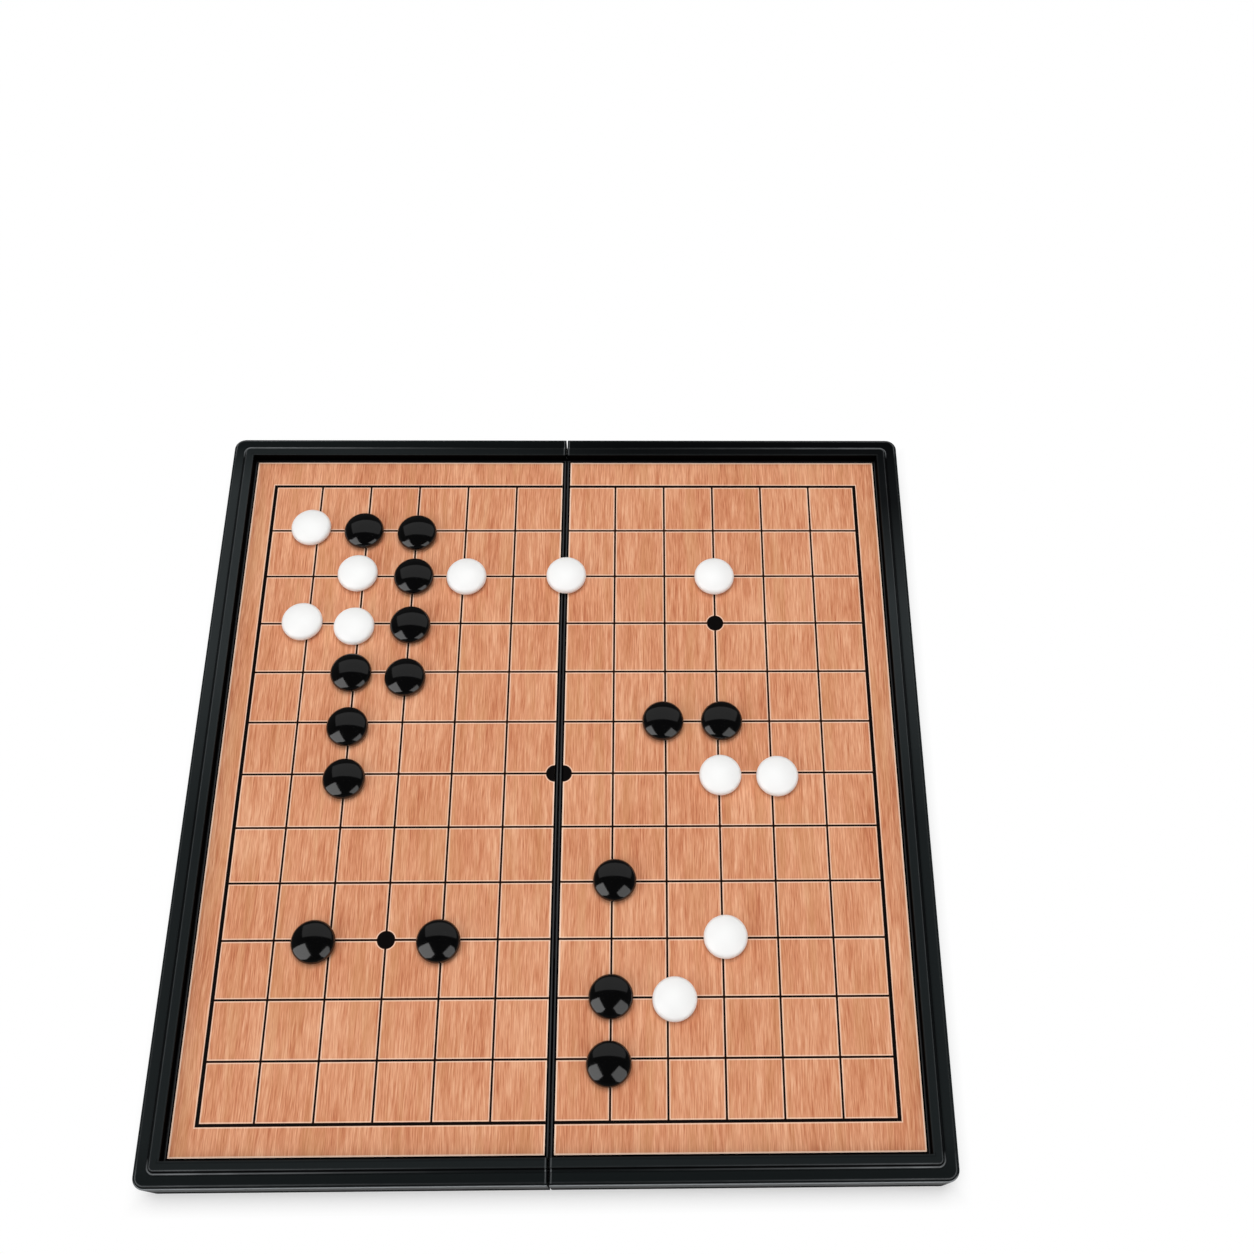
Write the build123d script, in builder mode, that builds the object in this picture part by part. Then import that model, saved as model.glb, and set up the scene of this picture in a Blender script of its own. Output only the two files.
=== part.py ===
from build123d import *
import math
import os

# Folding go set, laid open: a hollow case in two halves, hinged along the middle of the
# board, with a printed playing sheet on each half and magnetic stones standing on it.
#
# Millimetres, +Z up. The origin is on the table under the middle of the open case.
# +X runs to the right half and +Y away from the player. The fold runs along Y, and the
# right half swings down and under the left one until the two hollow sides face each other.

# How closely an edge's place must match when it is picked out by height or side
place_tolerance = 0.001

# Playing grid
row_pitch = 20.8
column_pitch = 19.9
edge_column = 19.1
fold_column = 20.3
rows = 13
whole_columns = 4
side_margin = 8.45
front_margin = 10.4
back_margin = 11.4

# Stepped rim, seen from above
sheet_side_gap = 1.2
sheet_end_gap = 1.0
band_width = 3.2
band_slope = 0.6
bead_width = 0.8
flange_width = 3.5
skirt_width = 0.9
corner_radius = 3.4
bead_corner_radius = 2.9

# Heights of one half
case_height = 18.5
band_rise = 1.8
bead_rise = 0.6
skirt_drop = 1.0
rim_above_sheet = 4.6
deck_thickness = 2.0
closing_gap = 0.1

# Walls of the moulding
outer_wall = 2.0
inner_wall = 1.6
spine_wall = 2.2
flange_thickness = 1.8
flange_edge_radius = 0.5
band_edge_radius = 0.4
bead_edge_radius = 0.25
skirt_edge_radius = 0.3
fold_corner_radius = 0.9
rib_thickness = 1.2
deck_rib_height = 1.0
deck_rib_spacing = 54.0
channel_rib_spacing = 27.0

# Fold
fold_gap = 0.6
fold_lip_width = 1.2

# Hinges: two groups of interleaved knuckles, each on its own steel pin
barrel_radius = 2.0
barrel_floor_gap = 0.2
pin_radius = 0.9
pin_running_gap = 0.05
knuckle_length = 8.0
knuckle_side_gap = 0.3
knuckles = 5
hinge_from_middle = 88.0
knuckle_relief = 0.3

# Rubber feet, plugged into bosses in the corners of each half
foot_radius = 4.6
foot_head = 2.6
foot_stem_radius = 1.9
foot_stem_length = 4.0
foot_stem_gap = 0.02
foot_boss_wall = 0.4
foot_from_wall = 1.6
foot_from_spine = 4.0
foot_row_shift = 14.0

# Closing magnets in the outer long walls
closing_magnet_radius = 4.0
closing_magnet_height = 3.0
closing_magnet_gap = 0.05
closing_magnet_recess = 0.1
closing_magnet_wall = 1.2
closing_magnet_from_middle = 58.0

# Thumb scoops at the mating edges of the outer long walls
scoop_length = 34.0
scoop_depth = 0.9
scoop_height = 6.5

# Sheets
steel_thickness = 0.4
sheet_thickness = 0.5
sheet_fold_fit = 0.1

# Stones
stone_radius = 7.9
stone_height = 5.2
stone_edge_round = 2.0
stone_base_cut = 0.1
stone_magnet_radius = 3.0
stone_magnet_height = 2.0
stone_magnet_gap = 0.05
stone_magnet_recess = 0.1

# Stones by where they stand: column and row of the crossing counted from the far left
# corner, then how far the stone sits off it, to the right and away from the player.
white_stones = [
    (1, 1, -2.5, 0.5),
    (2, 2, -2.0, 0.5),
    (4, 2, 1.5, -1.0),
    (1, 3, -2.0, 0.0),
    (2, 3, -1.5, -2.0),
    (6, 2, 1.0, -0.5),
    (9, 2, 0.0, -1.0),
    (9, 6, 0.5, -1.5),
    (10, 6, 2.0, -2.0),
    (9, 9, 1.0, 0.0),
    (8, 10, 2.5, -1.0),
]
black_stones = [
    (2, 1, -1.0, -1.0),
    (3, 1, 0.5, -2.0),
    (3, 2, 0.5, -1.0),
    (3, 3, 0.5, -1.5),
    (2, 4, -1.0, -1.0),
    (3, 4, 0.0, -3.0),
    (2, 5, -0.5, -2.5),
    (2, 6, 0.0, -2.5),
    (4, 9, -1.0, -1.0),
    (2, 9, -5.5, -1.0),
    (9, 5, 1.5, -0.5),
    (8, 5, -1.0, -0.5),
    (7, 8, 1.0, 0.0),
    (7, 10, 0.0, 0.0),
    (7, 11, -0.5, -2.0),
]

# Places worked out from the sizes above
grid_half_width = fold_column + whole_columns * column_pitch + edge_column
grid_depth = (rows - 1) * row_pitch
sheet_depth = grid_depth + front_margin + back_margin
grid_middle_y = (front_margin - back_margin) / 2
fold_face = fold_gap / 2
sheet_inner_x = fold_face + fold_lip_width + sheet_fold_fit
sheet_outer_x = grid_half_width + side_margin
recess_x = sheet_outer_x + sheet_side_gap
recess_y = sheet_depth / 2 + sheet_end_gap
band_x = recess_x + band_width
band_y = recess_y + band_width
bead_x = band_x + band_slope + bead_width
bead_y = band_y + band_slope + bead_width
case_x = bead_x + flange_width
case_y = bead_y + flange_width
pocket_x = case_x + skirt_width - outer_wall
pocket_y = case_y + skirt_width - outer_wall
pocket_corner_radius = corner_radius + skirt_width - outer_wall
pocket_inner_x = fold_face + spine_wall

hinge_z = barrel_radius + barrel_floor_gap
mating_z = hinge_z + closing_gap / 2
rim_z = mating_z + case_height
flange_z = rim_z - band_rise
sheet_z = rim_z - rim_above_sheet
steel_z = sheet_z - sheet_thickness
deck_z = steel_z - steel_thickness
deck_under_z = deck_z - deck_thickness
channel_z = flange_z - flange_thickness
skirt_z = flange_z - skirt_drop

foot_boss_radius = foot_radius + foot_boss_wall
foot_outer_x = pocket_x - foot_from_wall - foot_boss_radius
foot_inner_x = pocket_inner_x + foot_from_spine + foot_boss_radius
foot_outer_y = pocket_y - foot_from_wall - foot_boss_radius
magnet_boss_radius = closing_magnet_radius + closing_magnet_gap + closing_magnet_wall
magnet_x = pocket_x - magnet_boss_radius + closing_magnet_wall
knuckle_step = knuckle_length + knuckle_side_gap
hinge_length = knuckles * knuckle_length + (knuckles - 1) * knuckle_side_gap


def knuckle_centres(first):
    """Y of every second knuckle of both hinges, starting with the knuckle numbered first."""
    return [
        hinge_y - (hinge_length - knuckle_length) / 2 + number * knuckle_step
        for hinge_y in (-hinge_from_middle, hinge_from_middle)
        for number in range(first, knuckles, 2)
    ]


def round_on_hinge(radius, length, centres, mode=Mode.ADD):
    """Rods or holes on the hinge axis, one centred at each given Y, in the part being made."""
    planes = [Plane(origin=(0, y, hinge_z), x_dir=(1, 0, 0), z_dir=(0, 1, 0)) for y in centres]
    with BuildSketch(*planes) as rounds:
        Circle(radius)
    extrude(rounds.sketch, amount=length / 2, both=True, mode=mode)


def wall_plan(plan, grow):
    """Plan of the right half at its flange or skirt, eased where it meets the fold."""
    with Locations(((fold_face + case_x + grow) / 2, 0)):
        Rectangle(case_x + grow - fold_face, 2 * (case_y + grow))
    by_x = plan.vertices().sort_by(Axis.X)
    fillet(by_x[-2:], corner_radius + grow)
    fillet(by_x[:2], fold_corner_radius)


def span(x_low, x_high, half_depth):
    """A rectangle across the whole depth of the case, added to the sketch being drawn."""
    with Locations(((x_low + x_high) / 2, 0)):
        Rectangle(x_high - x_low, 2 * half_depth)


def make_skirt():
    """The outer wall of the right half under its flange, as a block with a rounded top edge."""
    with BuildPart() as skirt:
        with BuildSketch(Plane.XY.offset(mating_z)) as plan:
            wall_plan(plan, skirt_width)
        extrude(amount=skirt_z - mating_z)
        fillet(skirt.edges().group_by(Axis.Z)[-1], skirt_edge_radius)
    return skirt.part


def make_outer_form():
    """The stepped outside of the right half, as one block: skirt, flange, bead and raised band."""
    skirt = make_skirt()
    band_reach = 2 * (band_x + band_slope)
    band_depth = 2 * (band_y + band_slope)
    band_climb = band_rise - bead_rise
    with BuildPart() as form:
        with BuildSketch(Plane.XY.offset(flange_z)):
            RectangleRounded(2 * bead_x, 2 * bead_y, bead_corner_radius)
        extrude(amount=bead_rise)
        fillet(form.edges().group_by(Axis.Z)[-1], bead_edge_radius)
        with BuildSketch(Plane.XY.offset(flange_z + bead_rise)):
            RectangleRounded(band_reach, band_depth, bead_corner_radius - bead_width)
        extrude(amount=band_climb, taper=math.degrees(math.atan2(band_slope, band_climb)))
        fillet(form.edges().group_by(Axis.Z)[-1], band_edge_radius)
        split(bisect_by=Plane.YZ.offset(fold_face), keep=Keep.TOP)
        with BuildSketch(Plane.XY.offset(mating_z)) as wall:
            wall_plan(wall, 0)
        extrude(amount=flange_z - mating_z)
        flange_rim = form.edges().filter_by(lambda e: abs(e.center().Z - flange_z) < place_tolerance)
        outer_rim = flange_rim.filter_by(
            lambda e: e.center().X > bead_x + place_tolerance or abs(e.center().Y) > case_y - place_tolerance
        )
        fillet(outer_rim, flange_edge_radius)
        add(skirt)
    return form.part


def make_inner_posts(foot_y):
    """Bosses for the feet and the closing magnets, standing up into the moulding."""
    with BuildPart() as posts:
        with BuildSketch(Plane.XY.offset(foot_head)):
            with Locations(*[(x, y) for x in (foot_inner_x, foot_outer_x) for y in (-foot_y, foot_y)]):
                Circle(foot_boss_radius)
        extrude(amount=flange_z - foot_head - flange_thickness / 2)
        with BuildSketch(Plane.XY.offset(mating_z)):
            with Locations((magnet_x, -closing_magnet_from_middle), (magnet_x, closing_magnet_from_middle)):
                Circle(magnet_boss_radius)
        extrude(amount=flange_z - mating_z - flange_thickness / 2)
    return posts.part


def make_ribs():
    """Low ribs under the deck and short webs that bridge the channel under the rim."""
    channel_x = recess_x + inner_wall
    channel_y = recess_y + inner_wall
    deck_rib_count = int(2 * recess_y / deck_rib_spacing)
    side_count = int(2 * recess_y / channel_rib_spacing)
    end_count = int(recess_x / channel_rib_spacing)
    with BuildPart() as ribs:
        with BuildSketch(Plane.XY.offset(deck_under_z - deck_rib_height)):
            with Locations(((pocket_inner_x + channel_x) / 2, 0)):
                with GridLocations(1, deck_rib_spacing, 1, deck_rib_count):
                    Rectangle(channel_x - pocket_inner_x, rib_thickness)
                Rectangle(rib_thickness, 2 * channel_y)
        extrude(amount=deck_rib_height + deck_thickness / 2)
        with BuildSketch(Plane.XY.offset(deck_under_z)):
            with Locations(((channel_x + pocket_x) / 2, 0)):
                with GridLocations(1, channel_rib_spacing, 1, side_count):
                    Rectangle(pocket_x - channel_x + outer_wall, rib_thickness)
            with Locations((recess_x / 2, 0)):
                with GridLocations(channel_rib_spacing, channel_y + pocket_y, end_count, 2):
                    Rectangle(rib_thickness, pocket_y - channel_y + outer_wall)
        extrude(amount=channel_z - deck_under_z + flange_thickness / 2)
    return ribs.part


def make_tray(first_own_knuckle, foot_y):
    """One moulded half as the right one: rim, deck, hollow, bosses, ribs and hinge knuckles."""
    outer_form = make_outer_form()
    posts = make_inner_posts(foot_y)
    ribs = make_ribs()
    scoop_radius = (scoop_length**2 / 4 + scoop_depth**2) / (2 * scoop_depth)
    scoop_x = case_x + skirt_width - scoop_depth + scoop_radius
    with BuildPart() as tray:
        add(outer_form)
        with BuildSketch(Plane.XY.offset(mating_z)) as pocket:
            span(pocket_inner_x, pocket_x, pocket_y)
            fillet(pocket.vertices().sort_by(Axis.X)[-2:], pocket_corner_radius)
        extrude(amount=deck_under_z - mating_z, mode=Mode.SUBTRACT)
        with BuildSketch(Plane.XY.offset(deck_under_z)) as channel:
            span(pocket_inner_x, pocket_x, pocket_y)
            fillet(channel.vertices().sort_by(Axis.X)[-2:], pocket_corner_radius)
            with Locations((0, 0)):
                Rectangle(2 * (recess_x + inner_wall), 2 * (recess_y + inner_wall), mode=Mode.SUBTRACT)
        extrude(amount=channel_z - deck_under_z, mode=Mode.SUBTRACT)
        add(posts)
        add(ribs)

        # Recess for the sheets, and the thin lip that is left along the fold
        with BuildSketch(Plane.XY.offset(deck_z)):
            span(fold_face + fold_lip_width, recess_x, recess_y)
        extrude(amount=rim_z - deck_z, mode=Mode.SUBTRACT)
        with BuildSketch(Plane.XY.offset(sheet_z)):
            span(0, recess_x, recess_y)
        extrude(amount=rim_z - sheet_z, mode=Mode.SUBTRACT)
        band_inside = tray.edges().filter_by(
            lambda e: abs(e.center().Z - rim_z) < place_tolerance
            and e.center().X < recess_x + place_tolerance
            and abs(e.center().Y) < recess_y + place_tolerance
            and e.length > band_width + band_slope + bead_width
        )
        fillet(band_inside, band_edge_radius)

        # Hinge: room for the other half's knuckles, then this half's own, bored for the pin
        relief_length = knuckle_length + 2 * knuckle_side_gap
        others = knuckle_centres(1 - first_own_knuckle)
        round_on_hinge(barrel_radius + knuckle_relief, relief_length, others, Mode.SUBTRACT)
        round_on_hinge(barrel_radius, knuckle_length, knuckle_centres(first_own_knuckle))
        bore_radius = pin_radius + (pin_running_gap if first_own_knuckle else 0)
        hinge_middles = (-hinge_from_middle, hinge_from_middle)
        round_on_hinge(bore_radius, hinge_length + 2 * knuckle_side_gap, hinge_middles, Mode.SUBTRACT)

        # Sockets for the feet and the magnets, and the thumb scoop
        with BuildSketch(Plane.XY.offset(foot_head)):
            with Locations(*[(x, y) for x in (foot_inner_x, foot_outer_x) for y in (-foot_y, foot_y)]):
                Circle(foot_stem_radius + foot_stem_gap)
        extrude(amount=foot_stem_length + closing_magnet_recess, mode=Mode.SUBTRACT)
        with BuildSketch(Plane.XY.offset(mating_z)):
            with Locations((magnet_x, -closing_magnet_from_middle), (magnet_x, closing_magnet_from_middle)):
                Circle(closing_magnet_radius + closing_magnet_gap)
        extrude(amount=closing_magnet_height + closing_magnet_recess, mode=Mode.SUBTRACT)
        with BuildSketch(Plane.XY.offset(mating_z)):
            with Locations((scoop_x, 0)):
                Circle(scoop_radius)
        extrude(amount=scoop_height, mode=Mode.SUBTRACT)
    return tray.part


def make_feet(foot_y):
    """Four rubber feet of the right half: a round head with a stem that plugs into its boss."""
    places = [(x, y) for x in (foot_inner_x, foot_outer_x) for y in (-foot_y, foot_y)]
    with BuildPart() as feet:
        with BuildSketch():
            with Locations(*places):
                Circle(foot_radius)
        extrude(amount=foot_head)
        with BuildSketch(Plane.XY.offset(foot_head)):
            with Locations(*places):
                Circle(foot_stem_radius)
        extrude(amount=foot_stem_length)
    return feet.part


def make_closing_magnets():
    """The right half's two disc magnets, set a little back from the mating edge."""
    with BuildPart() as magnets:
        with BuildSketch(Plane.XY.offset(mating_z + closing_magnet_recess)):
            with Locations((magnet_x, -closing_magnet_from_middle), (magnet_x, closing_magnet_from_middle)):
                Circle(closing_magnet_radius)
        extrude(amount=closing_magnet_height)
    return magnets.part


def make_sheet(base_z, thickness):
    """A flat sheet that fills the right half's recess, less its gaps."""
    with BuildPart() as sheet:
        with BuildSketch(Plane.XY.offset(base_z)):
            span(sheet_inner_x, sheet_outer_x, sheet_depth / 2)
        extrude(amount=thickness)
    return sheet.part


def make_hinge_pin(hinge_y):
    """A plain steel pin as long as its group of knuckles."""
    with BuildPart() as pin:
        round_on_hinge(pin_radius, hinge_length, [hinge_y])
    return pin.part


def make_stone():
    """A domed stone on the origin with a disc magnet in its flat base."""
    edge_z = stone_edge_round - stone_base_cut
    edge_x = stone_radius - stone_edge_round
    drop = stone_height - edge_z
    dome_radius = (edge_x**2 + drop**2 - stone_edge_round**2) / (2 * (drop - stone_edge_round))
    dome_z = stone_height - dome_radius
    lean = math.atan2(edge_x, edge_z - dome_z)
    shoulder = (dome_radius * math.sin(lean), dome_z + dome_radius * math.cos(lean))
    dome_mid = (dome_radius * math.sin(lean / 2), dome_z + dome_radius * math.cos(lean / 2))
    base_radius = edge_x + math.sqrt(stone_edge_round**2 - edge_z**2)
    pocket_radius = stone_magnet_radius + stone_magnet_gap
    pocket_height = stone_magnet_height + stone_magnet_recess + stone_magnet_gap
    with BuildPart() as stone:
        with BuildSketch(Plane.XZ):
            with BuildLine():
                ThreePointArc((0, stone_height), dome_mid, shoulder)
                ThreePointArc(shoulder, (stone_radius, edge_z), (base_radius, 0))
                Polyline(
                    (base_radius, 0),
                    (pocket_radius, 0),
                    (pocket_radius, pocket_height),
                    (0, pocket_height),
                    (0, stone_height),
                )
            make_face()
        revolve(axis=Axis.Z)
        with BuildSketch(Plane.XY.offset(stone_magnet_recess)):
            Circle(stone_magnet_radius)
        extrude(amount=stone_magnet_height)
    return stone.part


def column_x(column):
    """X of a board line, counted from the left edge; the fold itself is the middle one."""
    middle = whole_columns + 2
    steps = abs(column - middle)
    if steps == 0:
        return 0.0
    distance = fold_column + min(steps - 1, whole_columns) * column_pitch
    if steps > whole_columns + 1:
        distance += edge_column
    return math.copysign(distance, column - middle)


def row_y(row):
    """Y of a board line, counted from the far edge."""
    return grid_middle_y + grid_depth / 2 - row * row_pitch


def save(piece, name):
    """Name a finished piece and write it."""
    piece.label = name
    export_step(piece, f"parts/{name}.step")


os.makedirs("parts", exist_ok=True)

left_foot_y = foot_outer_y
right_foot_y = foot_outer_y - foot_row_shift
save(make_tray(0, left_foot_y).mirror(Plane.YZ), "left_tray")
save(make_tray(1, right_foot_y), "right_tray")
save(make_feet(left_foot_y).mirror(Plane.YZ), "left_rubber_feet")
save(make_feet(right_foot_y), "right_rubber_feet")
save(make_closing_magnets().mirror(Plane.YZ), "left_closing_magnets")
save(make_closing_magnets(), "right_closing_magnets")
save(make_sheet(deck_z, steel_thickness).mirror(Plane.YZ), "left_steel_sheet")
save(make_sheet(deck_z, steel_thickness), "right_steel_sheet")
save(make_sheet(steel_z, sheet_thickness).mirror(Plane.YZ), "left_playing_sheet")
save(make_sheet(steel_z, sheet_thickness), "right_playing_sheet")
save(make_hinge_pin(-hinge_from_middle), "front_hinge_pin")
save(make_hinge_pin(hinge_from_middle), "back_hinge_pin")

for colour, stones in (("white", white_stones), ("black", black_stones)):
    for number, (column, row, right, away) in enumerate(stones, start=1):
        place = Pos(column_x(column) + right, row_y(row) + away, sheet_z)
        save(place * make_stone(), f"{colour}_stone_{number:02d}")
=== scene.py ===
"""Folding go set, laid open: the finish of every part, the moulded stones and the studio.

Metres, +Z up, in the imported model's own frame: +X to the right half, +Y away from the player,
and the table at z = 0. Sizes that a finish works with are in millimetres and say so.
"""
import enum
import logging
import math
from collections.abc import Mapping, Sequence
from dataclasses import dataclass, field
from typing import Any, Union

import bpy
import numpy as np
from mathutils import Matrix, Vector


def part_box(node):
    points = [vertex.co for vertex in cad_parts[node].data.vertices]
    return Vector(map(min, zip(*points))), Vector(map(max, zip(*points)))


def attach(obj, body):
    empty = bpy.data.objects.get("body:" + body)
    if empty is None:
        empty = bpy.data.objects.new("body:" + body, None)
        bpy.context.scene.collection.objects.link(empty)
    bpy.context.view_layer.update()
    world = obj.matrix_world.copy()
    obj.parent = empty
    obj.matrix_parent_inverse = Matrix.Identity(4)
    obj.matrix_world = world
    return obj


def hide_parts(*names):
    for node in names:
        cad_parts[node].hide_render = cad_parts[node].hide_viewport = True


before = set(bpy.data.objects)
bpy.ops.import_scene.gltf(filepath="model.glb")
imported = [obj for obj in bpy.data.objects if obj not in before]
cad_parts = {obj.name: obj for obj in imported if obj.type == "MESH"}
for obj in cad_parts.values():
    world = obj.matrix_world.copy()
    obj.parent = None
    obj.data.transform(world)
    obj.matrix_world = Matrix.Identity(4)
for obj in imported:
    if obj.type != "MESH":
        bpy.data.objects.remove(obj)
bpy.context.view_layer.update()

LOG = logging.getLogger("folding_go_set")

MM = 0.001
PHOTO_PIXELS = 1254
WHITE = (1.0, 1.0, 1.0, 1.0)

Number = Union[float, "Wire"]
Colour = tuple[float, float, float, float]
Srgb = tuple[int, int, int]
Key = Union[int, str]
Span = tuple[float, float]
Place = tuple[float, float, float]
# Ramps: each a coordinate's name, where the ramp is 0 and where it is 1
Zone = tuple[tuple[str, float, float], ...]


def paint(srgb: Srgb) -> Colour:
    """Turn a colour written as 0 to 255 on a screen into the linear one that shaders use.

    Args:
        srgb: red, green and blue as a screen shows them.

    Returns:
        The linear colour, opaque.
    """
    shares = [value / 255 for value in srgb]
    linear = [s / 12.92 if s <= 0.04045 else ((s + 0.055) / 1.055) ** 2.4 for s in shares]
    return (linear[0], linear[1], linear[2], 1.0)


class Wire:
    """One value in a shader: a node's output, on which Python's arithmetic adds Math nodes."""

    def __init__(self, graph: "Graph", socket: bpy.types.NodeSocket) -> None:
        """Hold an output socket and the graph that it belongs to."""
        self.graph = graph
        self.socket = socket

    def sibling(self, output: Key) -> "Wire":
        """Give another output of the same node."""
        return Wire(self.graph, pick(self.socket.node.outputs, output))

    def math(self, operation: str, *values: Number) -> "Wire":
        """Add a Math node that works on this value and the given ones, in that order."""
        inputs = dict(enumerate((self, *values)))
        return self.graph.node("ShaderNodeMath", {"operation": operation}, inputs)

    def __add__(self, other: Number) -> "Wire":
        """Sum."""
        return self.math("ADD", other)

    __radd__ = __add__

    def __sub__(self, other: Number) -> "Wire":
        """Difference."""
        return self.math("SUBTRACT", other)

    def __rsub__(self, other: float) -> "Wire":
        """A plain number less this value."""
        return self.math("MULTIPLY", -1.0).math("ADD", other)

    def __mul__(self, other: Number) -> "Wire":
        """Product."""
        return self.math("MULTIPLY", other)

    __rmul__ = __mul__

    def __truediv__(self, other: Number) -> "Wire":
        """Quotient."""
        return self.math("DIVIDE", other)

    def __pow__(self, other: float) -> "Wire":
        """Power."""
        return self.math("POWER", other)

    def __neg__(self) -> "Wire":
        """The value with its sign turned."""
        return self.math("MULTIPLY", -1.0)

    def __abs__(self) -> "Wire":
        """Size without sign."""
        return self.math("ABSOLUTE")

    def rounded(self) -> "Wire":
        """The nearest whole number."""
        return self.math("ROUND")

    def at_least(self, other: Number) -> "Wire":
        """The larger of the two values."""
        return self.math("MAXIMUM", other)

    def at_most(self, other: Number) -> "Wire":
        """The smaller of the two values."""
        return self.math("MINIMUM", other)

    def clamped(self) -> "Wire":
        """The value kept between 0 and 1."""
        return self.at_least(0.0).at_most(1.0)

    def rise(self, start: float, end: float) -> "Wire":
        """0 at start, 1 at end, a straight ramp between them, up or down, and level beyond."""
        return ((self - start) / (end - start)).clamped()

    def near(self, place: float, half_width: float) -> "Wire":
        """1 at a place, and a straight ramp to 0 at a half width on either side of it."""
        return (1.0 - abs(self - place) / half_width).clamped()


def pick(sockets: Any, key: Key) -> bpy.types.NodeSocket:
    """Find a node's socket.

    Args:
        sockets: the node's inputs or outputs.
        key: the socket's place, identifier or name.

    Returns:
        The socket.
    """
    if isinstance(key, str):
        for socket in sockets:
            if socket.identifier == key:
                return socket
    return sockets[key]


class Graph:
    """The node tree of one material or of the world, and the few ways that nodes join it."""

    def __init__(self, tree: bpy.types.NodeTree) -> None:
        """Start from an empty tree."""
        tree.nodes.clear()
        self.tree = tree

    def node(
        self,
        kind: str,
        settings: Mapping[str, Any] | None = None,
        inputs: Mapping[Key, Any] | None = None,
        output: Key = 0,
    ) -> Wire:
        """Add a node.

        Args:
            kind: the node's type.
            settings: its own settings, set first; "stops" gives a colour ramp's stops.
            inputs: a value or a Wire for each socket named.
            output: the output that is handed back.

        Returns:
            That output.
        """
        made = self.tree.nodes.new(kind)
        for key, value in (settings or {}).items():
            if key == "stops":
                self.set_stops(made.color_ramp, value)
            else:
                setattr(made, key, value)
        for key, value in (inputs or {}).items():
            socket = pick(made.inputs, key)
            if isinstance(value, Wire):
                self.tree.links.new(value.socket, socket)
            else:
                socket.default_value = value
        outputs = made.outputs
        return Wire(self, pick(outputs, output)) if len(outputs) else None

    @staticmethod
    def set_stops(ramp: bpy.types.ColorRamp, stops: Sequence[tuple[float, Srgb]]) -> None:
        """Give a colour ramp its stops, each a place from 0 to 1 and a colour."""
        while len(ramp.elements) < len(stops):
            ramp.elements.new(0.5)
        for element, (place, srgb) in zip(ramp.elements, stops):
            element.position = place
            element.color = paint(srgb)

    def place_mm(self) -> tuple[Wire, Wire, Wire]:
        """Give the point's x, y and z in the model's own frame at rest, in millimetres."""
        point = self.node("ShaderNodeTexCoord", {}, {}, "Object")
        inputs = {0: point, "Scale": 1 / MM}
        scaled = self.node("ShaderNodeVectorMath", {"operation": "SCALE"}, inputs)
        x = self.node("ShaderNodeSeparateXYZ", {}, {0: scaled}, "X")
        return x, x.sibling("Y"), x.sibling("Z")

    def noise(
        self, x: Number, y: Number, z: Number, detail: float = 2.0, rough: float = 0.5
    ) -> Wire:
        """Add smooth noise from 0 to 1, about one blob per unit of each coordinate.

        Args:
            x: the first coordinate, already divided by a blob's size.
            y: the second one.
            z: the third one.
            detail: how many finer layers are added.
            rough: how strong each finer layer is.

        Returns:
            The noise.
        """
        where = self.node("ShaderNodeCombineXYZ", {}, {"X": x, "Y": y, "Z": z})
        inputs = {"Vector": where, "Scale": 1.0, "Detail": detail, "Roughness": rough}
        return self.node("ShaderNodeTexNoise", {"noise_dimensions": "3D"}, inputs)

    def blobs(self, place: Sequence[Wire], size_mm: float, **look: float) -> Wire:
        """Add noise whose blobs have one size along all three axes."""
        x, y, z = (value / size_mm for value in place)
        return self.noise(x, y, z, **look)

    def mix(self, share: Number, first: Any, second: Any, how: str = "MIX") -> Wire:
        """Mix two colours, from the first at 0 to the second at 1."""
        settings = {"data_type": "RGBA", "blend_type": how}
        inputs = {"Factor_Float": share, "A_Color": first, "B_Color": second}
        return self.node("ShaderNodeMix", settings, inputs, "Result_Color")

    def bump(self, height: Wire, depth_mm: float, under: Wire | None = None) -> Wire:
        """Add relief.

        Args:
            height: the relief, from 0 to 1.
            depth_mm: what a height of 1 stands for.
            under: relief that this one lies on.

        Returns:
            The normal for a shader.
        """
        inputs: dict[Key, Any] = {"Strength": 1.0, "Distance": depth_mm * MM, "Height": height}
        if under is not None:
            inputs["Normal"] = under
        return self.node("ShaderNodeBump", {}, inputs)

    def surface(self, **sockets: Any) -> Wire:
        """Add a Principled shader. A socket's name has underscores where its own has spaces."""
        inputs = {name.replace("_", " "): value for name, value in sockets.items()}
        return self.node("ShaderNodeBsdfPrincipled", {}, inputs)


@dataclass(frozen=True)
class Finish:
    """What every finish has: a name and a way to shade a surface."""

    name: str

    def shade(self, graph: Graph) -> Wire:
        """Give the shader that the surface shows."""
        raise NotImplementedError

    def material(self) -> bpy.types.Material:
        """Give the material of this finish, made on its first use.

        Returns:
            The material.
        """
        known = bpy.data.materials.get(self.name)
        if known is not None:
            return known
        made = bpy.data.materials.new(self.name)
        made.use_nodes = True
        graph = Graph(made.node_tree)
        graph.node("ShaderNodeOutputMaterial", {}, {"Surface": self.shade(graph)})
        return made


@dataclass(frozen=True)
class RimLine:
    """A line that runs round the rim, by how far it lies in from the flange's edge."""

    inset_mm: float
    half_width_mm: float
    along_sides: float
    along_ends: float
    at_corners: float

    def share(self, inset: Wire, ends: Wire, corner: Number) -> Wire:
        """Give its strength on the line, fading to 0 at its half width.

        Args:
            inset: millimetres in from the flange's edge.
            ends: 1 on the front and back runs of the rim, 0 on the sides.
            corner: 1 on those runs near the corners.

        Returns:
            The strength.
        """
        line = inset.near(self.inset_mm, self.half_width_mm)
        level = self.along_sides + ends * (self.along_ends - self.along_sides)
        return line * (level + corner * (self.at_corners - self.along_ends))


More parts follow.
